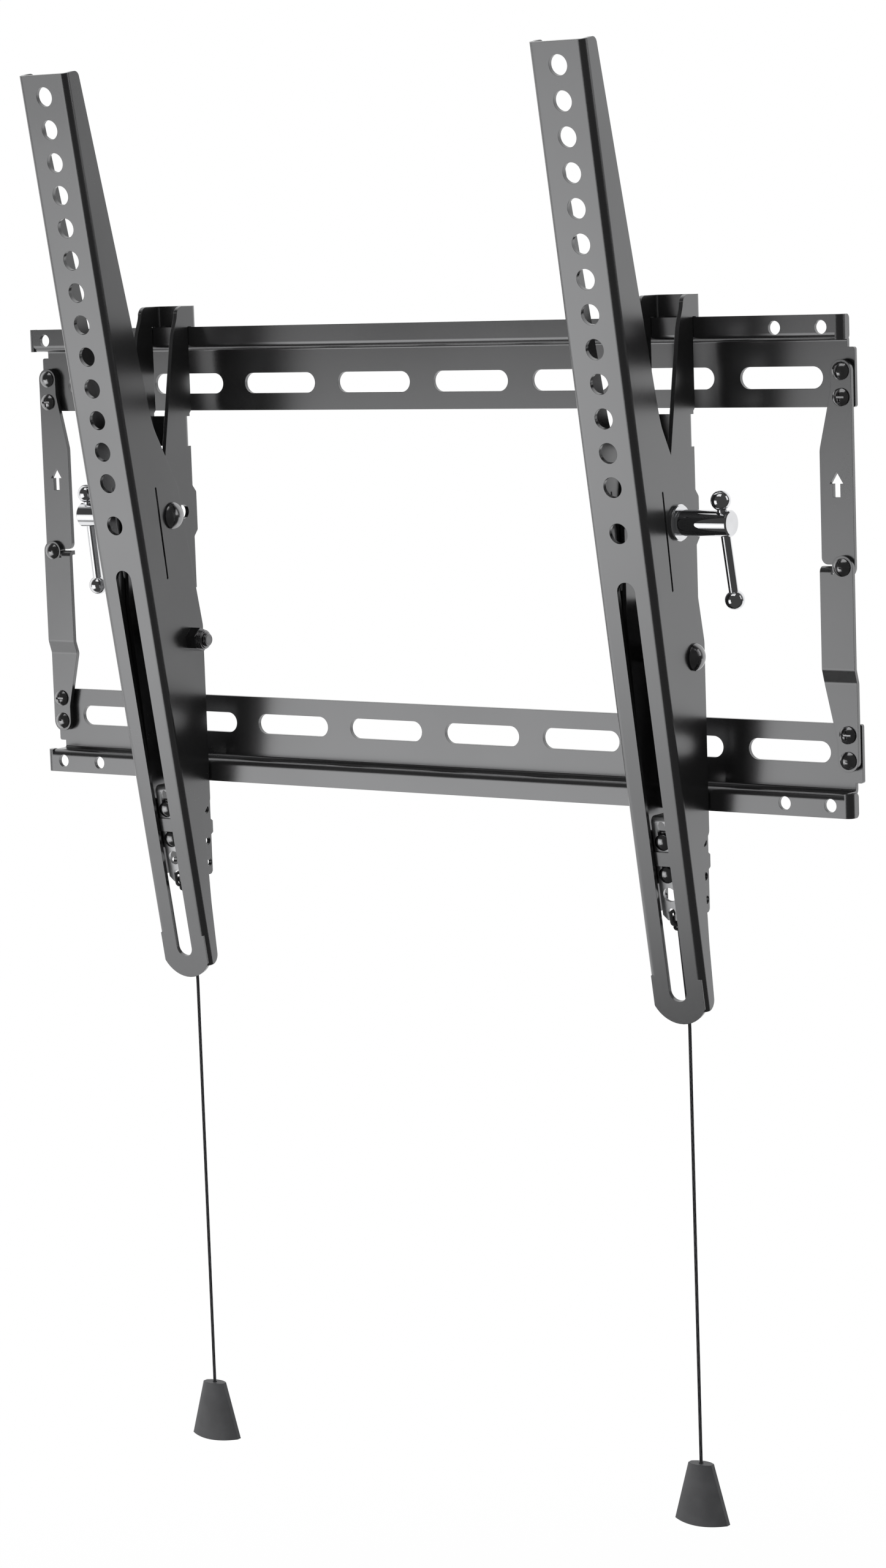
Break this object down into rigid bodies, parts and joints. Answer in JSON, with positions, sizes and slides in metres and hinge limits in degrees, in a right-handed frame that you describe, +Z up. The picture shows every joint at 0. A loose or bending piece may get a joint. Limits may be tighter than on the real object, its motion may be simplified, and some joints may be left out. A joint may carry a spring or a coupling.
{
  "type": "tilting television wall bracket",
  "caption": "Wall plate of slotted rails joined by folding links, with hooked tilting arms, clamp levers with sliding bars, and sprung latches released by pull cords.",
  "frame": {"origin": "middle of the wall plate, on the wall's surface", "axes": "+X to the right along the rails, +Y into the wall, +Z up"},
  "size_m": [0.45, 0.097, 0.659],
  "materials": {
    "black_steel": "satin dark grey coat",
    "black_rivet": "glossy black",
    "chrome": "polished",
    "zinc_steel": "zinc plated",
    "spring_steel": "plain",
    "black_cord": "braided",
    "black_plastic": "fine matt"
  },
  "bodies": {
    "wall_plate": {"upper_rail": "black_steel", "lower_rail": "black_steel", "upper_link_r": "black_steel", "upper_link_l": "black_steel", "lower_link_r": "black_steel", "lower_link_l": "black_steel", "rail_rivets": "black_rivet", "knee_rivets": "black_rivet", "lock_screws": "black_rivet", "link_spacers": "black_steel"},
    "hanger_r": {"hanger_r": "black_steel", "latch_rivets_r": "black_rivet", "latch_spring_r": "spring_steel"},
    "arm_r": {"tv_arm_r": "black_steel", "pivot_bolt_r": "black_rivet", "pivot_nut_r": "black_rivet", "clamp_bolt_r": "black_rivet", "lever_washer_r": "chrome"},
    "lever_r": {"lever_shaft_r": "chrome"},
    "tbar_r": {"tbar_r": "chrome", "tbar_balls_r": "chrome"},
    "latch_r": {"latch_plate_r": "zinc_steel", "cord_knot_r": "black_cord", "pull_cord_r": "black_cord", "pull_handle_r": "black_plastic"},
    "hanger_l": {"hanger_l": "black_steel", "latch_rivets_l": "black_rivet", "latch_spring_l": "spring_steel"},
    "arm_l": {"tv_arm_l": "black_steel", "pivot_bolt_l": "black_rivet", "pivot_nut_l": "black_rivet", "clamp_bolt_l": "black_rivet", "lever_washer_l": "chrome"},
    "lever_l": {"lever_shaft_l": "chrome"},
    "tbar_l": {"tbar_l": "chrome", "tbar_balls_l": "chrome"},
    "latch_l": {"latch_plate_l": "zinc_steel", "cord_knot_l": "black_cord", "pull_cord_l": "black_cord", "pull_handle_l": "black_plastic"}
  },
  "joints": [
    {"name": "hanger_slide_r", "type": "slide", "parent": "wall_plate", "child": "hanger_r", "axis": [1, 0, 0], "range_m": [-0.1026, 0.0699]},
    {"name": "arm_tilt_r", "type": "hinge", "parent": "hanger_r", "child": "arm_r", "pos_m": [0.1401, -0.0215, -0.039], "axis": [1, 0, 0], "range_deg": [-10.5, 0]},
    {"name": "lever_turn_r", "type": "hinge", "parent": "arm_r", "child": "lever_r", "pos_m": [0.1401, -0.03249, 0.02029], "axis": [1, 0, 0], "range_deg": [-180, 0]},
    {"name": "tbar_slide_r", "type": "slide", "parent": "lever_r", "child": "tbar_r", "axis": [0, -0.2198, 0.9755], "range_m": [0, 0.0241]},
    {"name": "latch_slide_r", "type": "slide", "parent": "hanger_r", "child": "latch_r", "axis": [0, 0.1822, -0.9833], "range_m": [0, 0.005], "stiffness_N_per_m": 800, "springref_m": -0.006, "deforming": ["latch_spring_r"]},
    {"name": "hanger_slide_l", "type": "slide", "parent": "wall_plate", "child": "hanger_l", "axis": [1, 0, 0], "range_m": [-0.0724, 0.1001]},
    {"name": "arm_tilt_l", "type": "hinge", "parent": "hanger_l", "child": "arm_l", "pos_m": [-0.1376, -0.0215, -0.039], "axis": [1, 0, 0], "range_deg": [-10.5, 0]},
    {"name": "lever_turn_l", "type": "hinge", "parent": "arm_l", "child": "lever_l", "pos_m": [-0.1376, -0.03249, 0.02029], "axis": [1, 0, 0], "range_deg": [-180, 0]},
    {"name": "tbar_slide_l", "type": "slide", "parent": "lever_l", "child": "tbar_l", "axis": [0, -0.1253, 0.9921], "range_m": [0, 0.0241]},
    {"name": "latch_slide_l", "type": "slide", "parent": "hanger_l", "child": "latch_l", "axis": [0, 0.1822, -0.9833], "range_m": [0, 0.005], "stiffness_N_per_m": 800, "springref_m": -0.006, "deforming": ["latch_spring_l"]}
  ]
}
